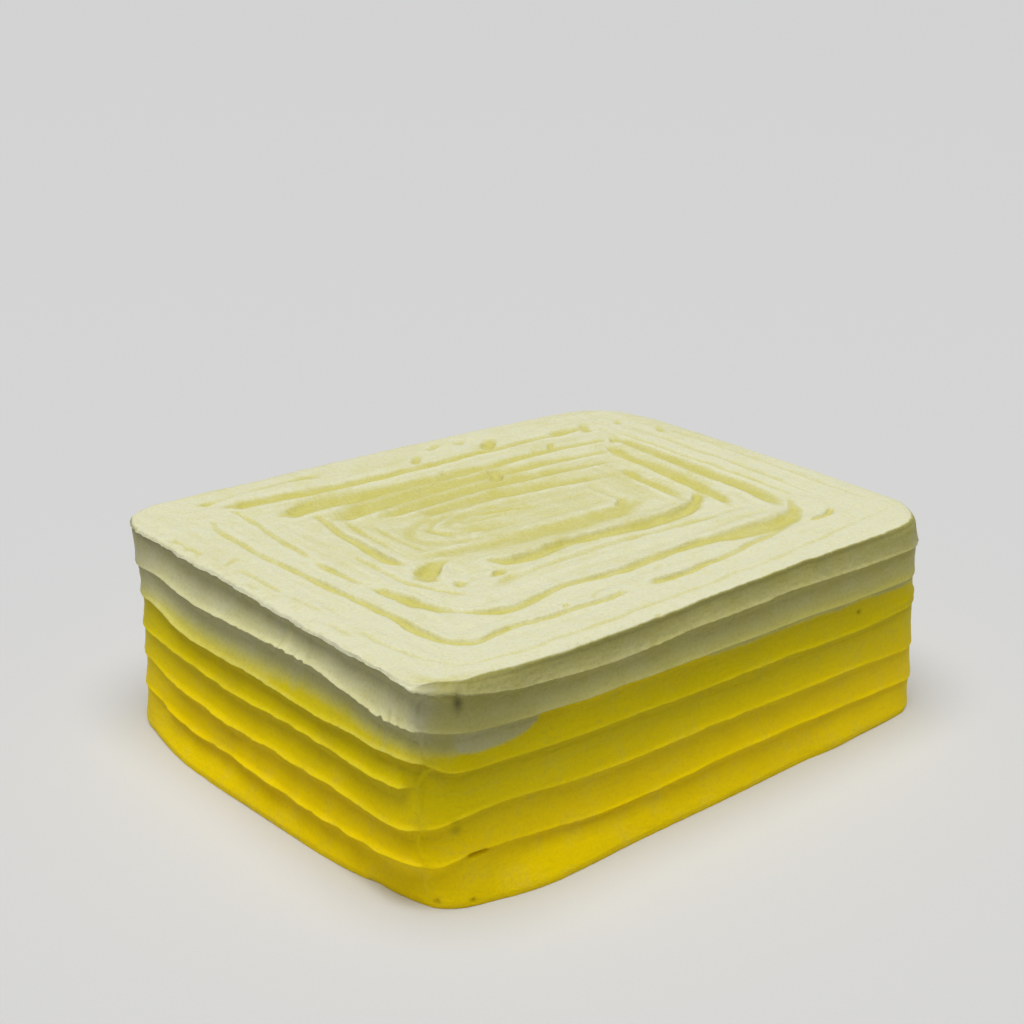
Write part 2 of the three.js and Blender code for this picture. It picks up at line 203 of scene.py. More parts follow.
# ---- The top: knife strokes, each point (x, y, half width, depth) from the near corner ----
TOP_ORIGIN = (-151.7, -120.05)
STROKES = [
    # back, from the rim inwards
    [(38, 226, 2.4, 0.9), (48, 228, 1.8, 0.3), (75, 228, 1.6, 0.25), (96, 227, 2.2, 0.6),
     (101, 225, 2.4, 0.9)],
    [(50, 215, 4.8, 1.9), (62, 213, 4.6, 1.8), (80, 210, 4.2, 1.4), (111, 206.5, 3.8, 1.2),
     (150, 204.5, 3.2, 0.9), (190, 203.5, 3, 0.8), (225, 203, 2.6, 0.7), (262, 201.5, 2.2, 0.3)],
    [(64, 190, 5, 1.8), (76, 192, 6.2, 1.9), (95, 190.5, 5.6, 1.4), (130, 189, 4.4, 0.9),
     (178, 185.5, 3.4, 0.8), (222, 183.5, 2.6, 0.8), (252, 181, 2.4, 0.4)],
    [(80, 172.5, 4.6, 1), (96, 175.5, 6.4, 1.5), (125, 177, 6.2, 1.4), (150, 176.5, 5.4, 1.1),
     (172, 174.5, 4.6, 1.2), (200, 171, 3.4, 0.6), (240, 167, 2.4, 0.4)],
    [(99, 163, 4.2, 0.7), (125, 164.5, 5.2, 0.9), (160, 163.5, 4.6, 0.9), (195, 159, 3.6, 0.6),
     (232, 154, 2.4, 0.3)],
    [(111, 153, 4.5, 0.5), (150, 151.5, 5, 0.7), (185, 146, 4.4, 0.6), (215, 138, 3, 0.3)],
    # right end
    [(258, 182, 3, 0.5), (257, 150, 4.5, 0.9), (257, 110, 5, 1), (256, 80, 5, 1), (252, 57, 3.5, 0.5)],
    [(244, 167, 3.4, 1.7), (242, 158, 3.8, 1.9), (241, 148, 3, 1), (242, 138, 3.6, 1.2),
     (241, 120, 4.6, 1.4), (239, 100, 4.4, 1.4), (237, 84, 3.4, 1.1), (234, 74, 2.4, 0.5)],
    [(227, 137, 3.6, 1.5), (225, 128, 3.2, 1), (224, 110, 3.4, 0.9), (223, 95, 2.8, 0.5)],
    [(266, 182, 1.2, 0.3), (267, 140, 1.4, 0.5), (268, 100, 1.4, 0.6), (268, 65, 1.2, 0.3)],
    [(278, 185, 1.4, 0.2), (278, 130, 1.6, 0.3), (277, 60, 1.4, 0.2)],
    [(291, 170, 1.2, 0.2), (292, 110, 1.4, 0.25), (291, 40, 1.2, 0.2)],
    # front, from the rim inwards
    [(13, 66, 0.8, 0.25), (14, 46, 0.8, 0.35), (18, 30, 0.8, 0.35), (26, 19, 0.9, 0.4),
     (45, 15, 0.9, 0.4), (80, 13.5, 0.9, 0.4), (120, 14, 0.9, 0.4), (170, 15, 0.9, 0.35),
     (222, 18, 0.9, 0.35), (250, 21, 1, 0.35), (290, 24.5, 1, 0.25)],
    [(141, 31, 2.2, 1.1), (152, 30, 2, 1), (178, 31, 1.7, 0.8), (205, 34, 1.6, 0.8),
     (230, 38, 1.5, 0.7), (247, 40.5, 1.2, 0.4)],
    [(251, 37.5, 1.3, 0.9), (262, 38, 1.4, 0.8), (270, 42.5, 1.2, 0.4)],
    [(56, 58, 1.5, 0.4), (64, 52, 2.4, 1), (75, 48, 2.6, 1.1), (92, 49, 2, 0.8), (105, 51, 1.8, 0.7),
     (133, 48.5, 2.2, 1), (165, 50, 2.4, 0.9), (190, 49.5, 3.4, 1.1), (215, 47, 5.2, 1.6),
     (236, 46, 5.4, 1.6), (250, 48.5, 3.8, 1.1), (258, 56, 2, 0.6), (262, 62, 1.2, 0.3)],
    [(88, 70, 1.5, 0.2), (130, 73.5, 1.8, 0.3), (178, 72, 1.8, 0.35), (212, 69, 1.8, 0.35),
     (238, 68, 1.6, 0.3)],
    [(100, 93, 1.8, 0.4), (107, 88, 3.2, 1.4), (118, 86, 3.4, 1.6), (140, 87, 3.4, 1.5),
     (167, 84.5, 3.6, 1.4), (190, 82.5, 4.4, 1.8), (210, 82.5, 4, 1.6), (224, 87, 3.2, 1.2),
     (234, 96, 2.4, 0.7)],
    [(78, 112, 3, 0.2), (100, 108, 4.5, 0.4), (133, 103.5, 6, 0.55), (167, 102.5, 6, 0.65),
     (190, 102.5, 5, 0.65), (206, 105, 3, 0.45)],
    # left end, from the rim inwards; the first turns the corner on to the front
    [(31, 206, 1.2, 0.4), (27, 195, 1.3, 0.5), (26.5, 178, 1.4, 0.6), (26.5, 155, 1.4, 0.7),
     (28, 133, 1.6, 0.8), (29, 111, 1.8, 1), (31, 89, 2, 1.1), (32, 67, 2, 1), (32.5, 50, 2.2, 1.2),
     (35, 39, 2, 1), (42, 32.5, 1.8, 1), (56, 33, 1.6, 0.9), (78, 32, 1.5, 0.8), (95, 31.5, 1.5, 0.8),
     (112, 30, 1.6, 0.9), (124, 31, 1.2, 0.5)],
    [(44, 211, 1.2, 0.4), (44, 189, 1.4, 0.6), (42.5, 167, 1.4, 0.6), (41, 144, 1.2, 0.4)],
    [(40, 135, 1.4, 0.7), (40.5, 118, 1.5, 0.8), (42, 106, 1.3, 0.4)],
    [(44, 96, 2, 0.7), (47, 84, 3.2, 1.3), (48.5, 74, 3.4, 1.3), (52, 64, 2.6, 0.9), (58, 56, 1.5, 0.4)],
    [(56, 130, 1, 0.3), (57, 110, 1.2, 0.4), (58, 95, 1.5, 0.5), (62, 82, 1.5, 0.4), (70, 68, 1.3, 0.3)],
    [(71, 183, 1.6, 0.4), (69, 165, 1.8, 0.6), (68, 145, 2.2, 1.1), (66, 128, 2.4, 1.4),
     (66.5, 117, 2.4, 1.4), (68, 111, 1.6, 0.6)],
    [(70, 95, 4.5, 2.1), (75, 100, 4.2, 1.9), (80, 103, 3, 1), (88, 104, 2, 0.3)],
    [(85, 155, 1.5, 0.3), (83, 135, 1.5, 0.35), (85, 118, 1.5, 0.3)],
    [(77, 170, 1.4, 0.3), (76, 150, 1.4, 0.3), (75, 130, 1.2, 0.3)],
    # the fine lines in the middle of the swirl
    [(130, 137, 1.2, 0.5), (145, 133, 1.3, 0.8), (160, 129, 1, 0.4)],
    [(139, 139, 0.8, 0.4), (158, 133, 0.8, 0.4)],
]
# The swirl's part rings: (middle x, middle y, reach, half height, half width of the line, depth)
SWIRL_RINGS = [
    (150, 131, 61, 22, 3, 0.24), (153, 134, 52, 15, 2.2, 0.32), (147, 132, 37, 11, 2.6, 0.19),
    (156, 135, 38, 5.5, 1.5, 0.3)
]
# Pits and nicks where the knife lifted: (from x, from y, to x, to y, half width, depth)
NICKS = [
    (73, 79, 76, 82, 2, 1.2), (92, 79, 97, 81, 2, 1.1), (88, 71, 98, 74, 3.2, 0.5),
    (168, 167, 178, 180, 3.2, 1.7), (191, 106, 198, 110, 2.4, 1.1), (151, 188, 156, 193, 2, 1),
    (219, 185, 226, 193, 1.3, 0.8), (207, 183, 211, 189, 1.2, 0.6), (195, 206, 203, 214, 3.2, 1.4),
    (152, 211, 158, 217, 2, 0.9), (171, 223, 177, 226, 1.8, 0.6), (186, 221, 192, 223, 2.2, 0.5),
    (236, 203, 247, 205, 3.4, 0.9), (256, 197, 261, 206, 2.4, 0.8), (277, 197, 280, 201, 1.8, 0.7),
    (253, 176, 259, 180, 2.6, 0.8), (285, 172, 288, 177, 2, 0.5), (93, 34.5, 95.5, 37, 0.9, 0.9),
    (108, 35, 117, 39, 0.7, 0.4), (152, 41, 157, 43, 0.7, 0.5), (245, 20, 249, 21.5, 0.9, 0.6),
    (117, 5, 120, 6, 0.9, 0.7), (8, 158, 15, 161, 0.7, 0.6), (10, 150, 11, 118, 0.7, 0.4),
    (11, 112, 12, 88, 0.6, 0.35), (7, 82, 8.5, 66, 0.6, 0.35), (5, 196, 6, 176, 0.8, 0.5),
    (16, 96, 17, 80, 0.6, 0.3)
]
SOFT_SIDE, CRISP_SIDE = 1.9, 1.05  # how far a stroke's outer and inner sides reach, in widths
RIDGE = 0.55  # how high a stroke's inner ridge is, as a share of its depth
TOP_STEP = 0.5  # step of the grid that the strokes are drawn on
TOP_MARGIN = 4
TOP_RISE = 0.6  # the most that a ridge rises above the top's level
TOP_WAVER = [(17, 0.8), (7, 0.55), (3, 0.25)]  # (size of the waves in the strokes, their reach)

# ---- Colours of the icing: its fade from rim to foot, and what lies over it ----
OMBRE = [
    (0, (0.8, 0.79, 0.545)), (0.18, (0.84, 0.81, 0.41)), (0.42, (0.89, 0.82, 0.19)),
    (0.7, (0.9, 0.75, 0.02)), (1, (0.91, 0.735, 0))
]
GOLDEN = (1, 0.735, 0)
# olive of the worked cream, which also carries the painted shade of hollows
OLIVE = (0.645, 0.6, 0.175)
SPECK_SHADE = (0.62, 0.56, 0.4)
SMUDGE_SHADE = (0.28, 0.28, 0.36)

FLOOR_REACH = 14  # metres

# ---- Light: one wide soft sun, with its heading from +X towards +Y, and a faint sky ----
SUN_HEADING, SUN_ELEVATION, SUN_SPREAD = 214, 80, 50
SUN_STRENGTH, SKY_STRENGTH = 2.86, 0.07

# ---- Camera, fitted to the photograph ----
CAMERA_PLACE = (-0.51888, -0.58889, 0.40492)
CAMERA_YAW = 40.6526
CAMERA_PITCH = 21.1164
CAMERA_ROLL = 0.8799
CAMERA_LENS = 63.66


def smooth(low, high, value):
    """0 below low, 1 above high, and an even S between."""
    t = np.clip((value - low) / (high - low), 0, 1)
    return t * t * (3 - 2 * t)


def bell(value, middle, width):
    return np.exp(-((value - middle) / width) ** 2)


def window(value, rise, fall):
    """Rises from 0 to 1 over one span of the value and falls again over another."""
    return smooth(*rise, value) * (1 - smooth(*fall, value))


def curve(knots, values, at):
    """A smooth curve through the values at the knots, read at the given points."""
    slopes = np.gradient(values, knots)
    i = np.clip(np.searchsorted(knots, at, side="right") - 1, 0, len(knots) - 2)
    span = knots[i + 1] - knots[i]
    t = (at - knots[i]) / span
    rise = values[i + 1] - values[i]
    leave, arrive = slopes[i] * span, slopes[i + 1] * span
    return values[i] + t * (leave + t * (3 * rise - 2 * leave - arrive
                                         + t * (leave + arrive - 2 * rise)))


def around(pairs, place):
    """A smooth closed curve through (place, value) pairs, read at the given places."""
    knots, values = np.array(pairs, float).T
    knots = np.concatenate([knots[-2:] - 8, knots, knots[:2] + 8])
    return curve(knots, np.concatenate([values[-2:], values, values[:2]]), place)


def noise(x, y, z):
    """Smooth noise from -1 to 1 on a repeating lattice."""
    places = np.broadcast_arrays(x, y, z)
    low = [np.floor(place).astype(int) for place in places]
    share = [smooth(0, 1, place - floor) for place, floor in zip(places, low)]
    total = 0
    for corner in itertools.product((0, 1), repeat=3):
        weight = 1
        for step, part in zip(corner, share):
            weight *= part if step else 1 - part
        at = [(floor + step) % NOISE_SIZE for floor, step in zip(low, corner)]
        total += weight * NOISE_LATTICE[tuple(at)]
    return total


class Columns:
    """The columns of the sides, from half way round the near corner."""

    def __init__(self):
        half = CORNER_STEPS // 2
        parts = [(3, 1, i / CORNER_STEPS) for i in range(half, CORNER_STEPS)]
        for side, steps in enumerate((LONG_SIDE_STEPS, SHORT_SIDE_STEPS) * 2):
            parts += [(side, i / steps, 0) for i in range(steps)]
            turned = half if side == 3 else CORNER_STEPS
            parts += [(side, 1, i / CORNER_STEPS) for i in range(turned)]
        side, self.share, self.turn = np.array(parts).T
        self.side = side.astype(int)
        self.count = len(side)
        straight = 2 - 2 * CORNER_PLACE
        self.place = (self.side * 2 + CORNER_PLACE + straight * self.share
                      + 2 * CORNER_PLACE * self.turn) % 8
        x, y = self.outline(np.ones((1, self.count)), np.zeros((1, self.count)))
        step = np.hypot(np.diff(x[0], append=x[0, :1]), np.diff(y[0], append=y[0, :1]))
        self.run = np.concatenate([[0], np.cumsum(step)[:-1]])  # mm along the rim
        self.girth = step.sum()

    def outline(self, share_up, inset):
        """x and y of each row (first index) at each column (second)."""
        following = (self.side + 1) % 4
        before = (self.side + 3) % 4

        def between(low, high, which):
            return low[which] + (high[which] - low[which]) * share_up

        def reach(which):
            return PLAN_HALVES[which] - between(BASE_INSETS, RIM_INSETS, which) - inset

        radius = between(BASE_RADII, RIM_RADII, following)
        first = -reach(before) + between(BASE_RADII, RIM_RADII, self.side)
        last = reach(following) - radius
        angle = self.turn * np.pi / 2
        run = first + (last - first) * self.share + radius * np.sin(angle)
        swell = between(BASE_BOWS, RIM_BOWS, self.side) * np.sin(np.pi * self.share)
        away = reach(self.side) + swell - radius * (1 - np.cos(angle))
        heading = self.side * np.pi / 2
        return (run * np.cos(heading) + away * np.sin(heading),
                run * np.sin(heading) - away * np.cos(heading))

    def noise(self, size, third):
        """Noise that closes up round the cake; its size there is in mm."""
        angle = self.run / self.girth * 2 * np.pi
        radius = self.girth / (2 * np.pi) / size
        return noise(np.cos(angle) * radius + 100, np.sin(angle) * radius + 100, third)


def in_box(x, y):
    """Moves and scales plan coordinates as the CAD does."""
    return (x + PLAN_SHIFT[0]) * PLAN_SCALE[0], (y + PLAN_SHIFT[1]) * PLAN_SCALE[1]


def torn(columns, edge):
    """How torn an edge is at each column, from 0 to 1."""
    place = columns.place
    if edge == C:
        return bell(place, 7.2, 0.12) + 1.1 * bell(place, 7.76, 0.14) + 0.35 * bell(place, 6.9, 0.4)
    if edge >= B:
        return 0.9 * bell(place, 6.38, 0.2) + 0.5 * bell(place, 6.9, 0.35) \
            + 0.6 * bell(place, 7.6, 0.25) + 0.25 * bell(place, 1.3, 0.9) + 0.25 * bell(place, 5, 1)
    return 0.15 * bell(place, 7.2, 0.6) + 0.03


def edge_heights(columns):
    heights = []
    for k, edge in enumerate(EDGES):
        height = around(edge, columns.place)
        height += 0.3 * columns.noise(16, k * 7.3)
        height += 0.14 * columns.noise(5, k * 5.1 + 9)
        rough = columns.noise(2.2, k * 3.7 + 20)
        height += (0.02 + 0.75 * torn(columns, k)) * rough
        if heights:
            height = np.maximum(height, heights[-1] + EDGE_GAP)
        heights.append(height)
    return heights


def band_inset(above, below, depth, lip_low, lip_high, step=LIP_UNDER):
    """How far the band's surface stands in, at heights above its lower and below its upper edge."""
    tall = above + below
    down = below / tall
    upper = UNDERCUT + (1 - UNDERCUT) * np.sin(np.pi / 2 * np.clip(down / DEEPEST, 0, 1))
    lower = np.cos(np.pi / 2 * np.clip((down - DEEPEST) / (1 - DEEPEST), 0, 1)) ** 1.1
    hollow = depth * np.minimum(tall / FULL_BAND, 1.15) * np.where(down < DEEPEST, upper, lower)
    squeeze = np.minimum(tall / 6, 1)
    hollow = hollow * smooth(0, step, below / squeeze)
    bead = lip_low * bell(above, 0, LIP_OVER * squeeze)
    crest = lip_high * bell(below, 0, LIP_CREST * squeeze)
    return hollow - (bead + crest) * squeeze


def past_seam(columns, z):
    """How far right of the near corner's seam each point lies, in mm, and its place there."""
    along = np.where(columns.place > 4, columns.place - 8, columns.place)
    starts = np.interp(z, [point[0] for point in SEAM], [point[1] for point in SEAM]) - 8
    return (along - starts) * PLACE_RUN, along


def share_down(z, heights):
    """How far down its band a point is: 0 right under the edge above, 1 on the edge below."""
    down = np.zeros(z.shape)
    low = np.full(z.shape[1], BASE_ROWS[-1][0])
    for high in heights:
        within = (z >= low) & (z <= high)
        down = np.where(within, (high - z) / (high - low), down)
        low = high
    return down


def tongue(columns, z, height, tall):
    """What is left of a band's hollow at the near corner, and the bead round its beginning.

    height runs from -1 to 1 up the band. The left end's strokes die out before the seam, and
    each of the front's begins after it with a round tip."""
    past, along = past_seam(columns, z)
    size = np.minimum(TONGUE, tall / 2.2)
    inside = past - size * (1 - np.sqrt(np.clip(1 - height ** 2, 0, 1)))
    near = (np.abs(along) < 0.9).astype(float)
    left = np.where(past < 0, smooth(-0.3, 1.6, -past), 0)
    right = np.where(past >= 0, smooth(-0.2, 1.2, inside), 0)
    share = 1 - 0.5 * near * (1 - left - right)
    bead = near * bell(inside, -0.3, 0.7) * (past > -1)
    return share, bead


def second_lip(columns, z, edge):
    """The doubled lip near the right corner."""
    first, last, rise = SECOND_LIP
    share = smooth(first, last, columns.place)
    present = smooth(first, first + 0.08, columns.place) * (columns.place < last + 0.2)
    return 0.55 * present * bell(z, edge + 1.2 + rise * share, 1.1)


def pits(columns, z, spots):
    """Small hollows at (place, height, radius, depth)."""
    total = np.zeros(z.shape)
    for place, height, radius, depth in spots:
        gap = (columns.place - place + 4) % 8 - 4
        away = np.hypot(gap * columns.girth / 8, z - height)
        total += depth * bell(away, 0, radius)
    return total


def rows_up(tall):
    """Heights of a band's rows above its lower edge, closest together near both edges."""
    squeeze = np.minimum(tall / 8, 1)
    first = [squeeze * step for step in ROWS_ABOVE]
    last = [tall - squeeze * step for step in ROWS_BELOW]
    middle = last[0] - first[-1]
    inner = [first[-1] + middle * i / (INNER_ROWS + 1) for i in range(1, INNER_ROWS + 1)]
    return [*first, *inner, *last, tall]


def side_surface(columns):
    """Heights and insets of the rows from the base to the rim, and the edges' heights."""
    heights, place = edge_heights(columns), columns.place
    depth = around(BAND_DEPTH, place)
    lip = np.maximum(around(LIP_OUT, place), 0)
    middle = np.clip(around(MIDDLE_PROUD, place), 0, 1)
    turn = rim_turn(columns)
    front = window(place, (0.15, 0.5), (3.6, 4.4))
    left = window(place, (5.4, 6), (7.75, 7.95))
    deeper = [1] * 5 + [1 + 0.1 * front + 0.25 * left, (1 + 0.6 * front) * (1 - left)]
    lips = []
    for k in range(len(EDGES)):
        ragged = columns.noise(9, k * 4.1 + 33)
        lips.append(lip * (1 + 0.5 * ragged) + 0.25 * torn(columns, k))
    lips[E] = lips[E] * middle
    lips[D] = lips[D] + 0.8 * bell(place, 6.4, 0.14)
    lips[B] = lips[B] * (1 - 0.9 * left)
    lips[RIM] = np.zeros(columns.count)

    zero = np.zeros(columns.count)
    tuck = BASE_TUCK * (1 + 0.45 * columns.noise(4, 77))
    rows = [(zero + z, tuck * share) for z, share in BASE_ROWS]
    low, lip_low = zero + BASE_ROWS[-1][0], zero
    for k, high in enumerate(heights):
        tall = high - low
        for up in rows_up(tall):
            at = low + up
            step = LIP_UNDER if k < RIM else RIM_STEP
            inset = band_inset(up, tall - up, depth * deeper[k], lip_low, lips[k], step)
            band_low, band_high = low, high
            if k in (E, D):
                band_low, band_high = heights[F], heights[D]
                whole = band_inset(at - band_low, band_high - at, depth, lips[F], lips[D])
                inset = whole + (inset - whole) * middle
            if k == RIM:
                inset += turn * np.exp(-(tall - up) / (RIM_TURN_HEIGHT * turn / 2 + 0.4))
            else:
                band_tall = band_high - band_low
                share, bead = tongue(columns, at, (at - band_low) / band_tall * 2 - 1, band_tall)
                inset = inset * share - 0.25 * bead
            rows.append((at, inset))
        low, lip_low = high, lips[k]
    z, inset = np.array(rows).transpose(1, 0, 2)
    add_marks(columns, z, inset, heights, left)
    return z, inset, heights


def add_marks(columns, z, inset, heights, left):
    """Waves, drag lines, torn lips, pits and swelling of the sides; left is 1 on the left end."""
    place = columns.place
    body = smooth(0, 6, z)
    inset += 0.45 * body * columns.noise(40, z / 26)
    inset += 0.06 * columns.noise(22, z / 0.9) + 0.1 * columns.noise(22, z / 3 + 40)
    inset += 0.07 * body * columns.noise(2.4, z / 2.2 + 11)
    for k, edge in enumerate(heights[:-1]):
        crumbs = columns.noise(2, z / 1.7 + k * 9.3)
        rough = torn(columns, k) * (1 - left) if k == B else torn(columns, k)
        inset -= (0.07 + 0.95 * rough) * crumbs * bell(z, edge + 0.5, 1.7)
    scallops = 0.55 * columns.noise(7, 51) + 0.45 * columns.noise(2.6, 57)
    inset -= left * scallops * smooth(-1.6, 0, z - heights[B])
    inset -= second_lip(columns, z, heights[D])
    inset += pits(columns, z, SIDE_PITS)
    first, last, cut = SLIT
    slit = window(place, (first - 0.01, first + 0.01), (last - 0.01, last + 0.01))
    inset += slit * (cut * bell(z, heights[G] - 0.7, 0.8)
                     - 0.5 * cut * bell(z, heights[G] - 2.8, 1))
    inset -= around(FOOT_SWELL, place) * (1 - smooth(0, FOOT_TALL, z))
    inset -= around(RIM_SWELL, place) * smooth(HEIGHT - RIM_TALL, HEIGHT, z)


def rim_turn(columns):
    """How far the rounding under the rim reaches in at each column."""
    turn = around(RIM_TURN, columns.place)
    ragged = (0.12 + 0.3 * torn(columns, RIM)) * columns.noise(3, 91)
    return turn * (1 + 0.15 * columns.noise(10, 83)) + ragged


def resample(points, step=1.5):
    """A smooth path through stroke points, with their widths and depths."""
    points = np.array(points, float)
    lengths = np.hypot(*np.diff(points[:, :2], axis=0).T)
    knots = np.concatenate([[0], np.cumsum(lengths)])
    count = max(int(knots[-1] / step) + 1, 3)
    at = np.linspace(0, knots[-1], count)
    if len(points) < 3:
        return np.stack([np.interp(at, knots, values) for values in points.T], 1), at
    return np.stack([curve(knots, values, at) for values in points.T], 1), at


def span(line, a, b, reach):
    """The stretch of a sorted line within reach of a to b."""
    return slice(*np.searchsorted(line, (min(a, b) - reach, max(a, b) + reach)))


def rim_distance(x, y):
    """Distance in from the rim's outline, and how far along each side, for top points."""
    away = [y + PLAN_HALVES[0] - RIM_INSETS[0], PLAN_HALVES[1] - RIM_INSETS[1] - x,
            PLAN_HALVES[2] - RIM_INSETS[2] - y, x + PLAN_HALVES[3] - RIM_INSETS[3]]
    nearest = np.minimum.reduce(away)
    for corner, radius in enumerate(RIM_RADII):
        a, b = away[corner - 1], away[corner]
        within = (a < radius) & (b < radius)
        nearest = np.where(within, radius - np.hypot(radius - a, radius - b), nearest)
    return nearest, away


def blurred(field, size):
    """A soft blur of a grid or of a ring of values; size is in its own steps."""
    for axis, count in enumerate(field.shape):
        fade = np.exp(-2 * (np.pi * size * np.fft.rfftfreq(count)) ** 2)
        if axis < field.ndim - 1:
            fade = fade[:, None]
        field = np.fft.irfft(np.fft.rfft(field, axis=axis) * fade, count, axis=axis)
    return field


def swirl():
    """The part rings at the middle, each a little off the last."""
    turns = np.linspace(0.6 * np.pi, 1.4 * np.pi, 9)
    return [[(x + reach * math.cos(a), y + half * math.sin(a), width, depth) for a in turns]
            for x, y, reach, half, width, depth in SWIRL_RINGS]


class Top:
    """The relief and the olive tint of the top, with painted shade in its hollows, on a fine plan grid
    from the near corner.
    """

    def __init__(self):
        self.wide = np.arange(-TOP_MARGIN, -2 * TOP_ORIGIN[0] + TOP_MARGIN, TOP_STEP)
        self.deep = np.arange(-TOP_MARGIN, -2 * TOP_ORIGIN[1] + TOP_MARGIN, TOP_STEP)
        px, py = np.meshgrid(self.wide, self.deep, indexing="ij")
        inward, away = rim_distance(px + TOP_ORIGIN[0], py + TOP_ORIGIN[1])
        self.inward = inward
        self.grid_x, self.grid_y = px, py
        for size, reach in TOP_WAVER:
            self.grid_x = self.grid_x + reach * noise(px / size, py / size, 3.3 + size)
            self.grid_y = self.grid_y + reach * noise(px / size, py / size, 8.8 + size)
        self.hollow = np.zeros(px.shape)
        self.ridges = np.zeros(px.shape)
        for points in STROKES + swirl():
            self.lay(points, 0.7, 2.5)
        for x0, y0, x1, y1, width, depth in NICKS:
            self.lay([(x0, y0, width, depth), (x1, y1, width, depth)], 0.7, 0.9, 0.15)

        long_side = np.isin(np.stack(away).argmin(0), (0, 2))
        along = np.where(long_side, px, py)
        turn = np.where(long_side, 1.5, 7.5)
        fine = noise(along / 26, inward / 1.3, turn)
        streak = noise(along / 20, inward / 2.6, turn + 3)
        broad = noise(along / 45, inward / 5, turn + 12)
        grain = noise(px / 1.9, py / 1.9, 61)
        lumps = noise(px / 4.5, py / 4.5, 67)
        patchy = smooth(-0.35, 0.5, noise(px / 26, py / 26, 71))
        calm = 0.4 + 0.6 * smooth(12, 30, inward)
        edge = (1 - smooth(2, 11, px)) * smooth(20, 60, py)
        drop = 1.45 * (self.hollow - self.ridges * np.clip(1 - self.hollow, 0, 1))
        drop -= calm * (0.16 * fine + (0.18 + 0.3 * patchy) * streak + 0.32 * broad)
        drop -= 0.07 * grain + (0.12 + 0.4 * edge) * lumps
        drop -= 0.3 * noise(px / 40, py / 40, 30)
        drop = np.where(drop < 0, -TOP_RISE * np.tanh(-drop / TOP_RISE), drop)
        far = np.hypot(px + 2 * TOP_ORIGIN[0], py + 2 * TOP_ORIGIN[1])
        drop += FAR_SAG[0] * bell(far, 0, FAR_SAG[1])
        cavity = blurred(drop, 1 / TOP_STEP) - blurred(drop, 5 / TOP_STEP)
        worked = blurred(self.hollow, 1.2 / TOP_STEP)
        nearby = blurred(self.hollow, 5 / TOP_STEP)
        centre = bell(np.hypot((px - 155) / 95, (py - 130) / 62), 0, 1)
        crisp = blurred(drop, 0.5 / TOP_STEP) - blurred(drop, 2.4 / TOP_STEP)
        # Olive tint where the strokes lie, at the middle and towards the back; the cavity terms are
        # painted shade, darker in the hollows and paler on the ridges.
        tint_and_painted_shade = 0.5 * np.clip(cavity / 0.9, -0.4, 1) + 0.42 * np.clip(worked / 1.4, 0, 1)
        tint_and_painted_shade += 0.32 * np.clip(crisp / 0.4, -0.6, 1)
        tint_and_painted_shade += 0.72 * np.clip(nearby / 0.8, 0, 1)
        tint_and_painted_shade += 0.46 * centre + 0.12 * smooth(60, 200, py) - 0.06
        tint_and_painted_shade += 0.26 * calm * streak + 0.2 * broad + 0.14 * lumps + 0.12 * grain
        # Painted shade: olive along the rim's rounding at the near corner.
        near_corner = bell(np.hypot(px - 9, py - 9), 0, 17)
        tint_and_painted_shade += 0.7 * near_corner * (1 - smooth(8, 11.5, inward))
        tint_and_painted_shade = np.where(tint_and_painted_shade > 0.55, 0.55 + 0.4 * np.tanh((tint_and_painted_shade - 0.55) / 0.5), tint_and_painted_shade)
        self.drop, self.tint_and_painted_shade = drop, np.clip(tint_and_painted_shade, 0, 1)

    def lay(self, points, start, end, rise=RIDGE):
        """Draws one stroke: a soft hollow with a raised ridge on its inner side."""
        path, at = resample(points)
        reach = path[:, 2].max() * 2.4 + 2
        (low_x, low_y), (high_x, high_y) = path[:, :2].min(0), path[:, :2].max(0)
        area = (span(self.wide, low_x, high_x, reach), span(self.deep, low_y, high_y, reach))
        gx, gy = self.grid_x[area], self.grid_y[area]
        gap = np.full(gx.shape, 99.0)
        along = np.zeros(gx.shape)
        for i in range(len(path) - 1):
            x0, y0, x1, y1 = *path[i, :2], *path[i + 1, :2]
            part = (span(self.wide[area[0]], x0, x1, reach), span(self.deep[area[1]], y0, y1, reach))
            dx, dy = x1 - x0, y1 - y0
            share = ((gx[part] - x0) * dx + (gy[part] - y0) * dy) / (dx * dx + dy * dy + 1e-9)
            share = np.clip(share, 0, 1)
            away = np.hypot(gx[part] - x0 - share * dx, gy[part] - y0 - share * dy)
            closer = away < gap[part]
            gap[part] = np.where(closer, away, gap[part])
            along[part] = np.where(closer, at[i] + (at[i + 1] - at[i]) * share, along[part])
        width = np.interp(along, at, path[:, 2])
        depth = np.interp(along, at, path[:, 3])
        own, _ = rim_distance(path[:, 0] + TOP_ORIGIN[0], path[:, 1] + TOP_ORIGIN[1])
        inner = smooth(-0.6, 0.6, self.inward[area] - np.interp(along, at, own))
        bowl = gap / width / (SOFT_SIDE + (CRISP_SIDE - SOFT_SIDE) * inner)
        bowl = (1 - np.clip(bowl, 0, 1) ** 2) ** 1.5
        ends = smooth(-0.2, start, along / width) * smooth(-0.2, end, (at[-1] - along) / width)
        uneven = 1 + 0.3 * noise(along / 9, gap / 3, path[0, 0])
        bowl = bowl * depth * uneven * (0.35 + 0.65 * ends)
        ridge = bell(gap / width, 1.25, 0.32) * ends * depth * rise * (0.35 + 0.65 * inner)
        self.hollow[area] = np.maximum(self.hollow[area], bowl)
        self.ridges[area] = np.maximum(self.ridges[area], ridge * uneven)

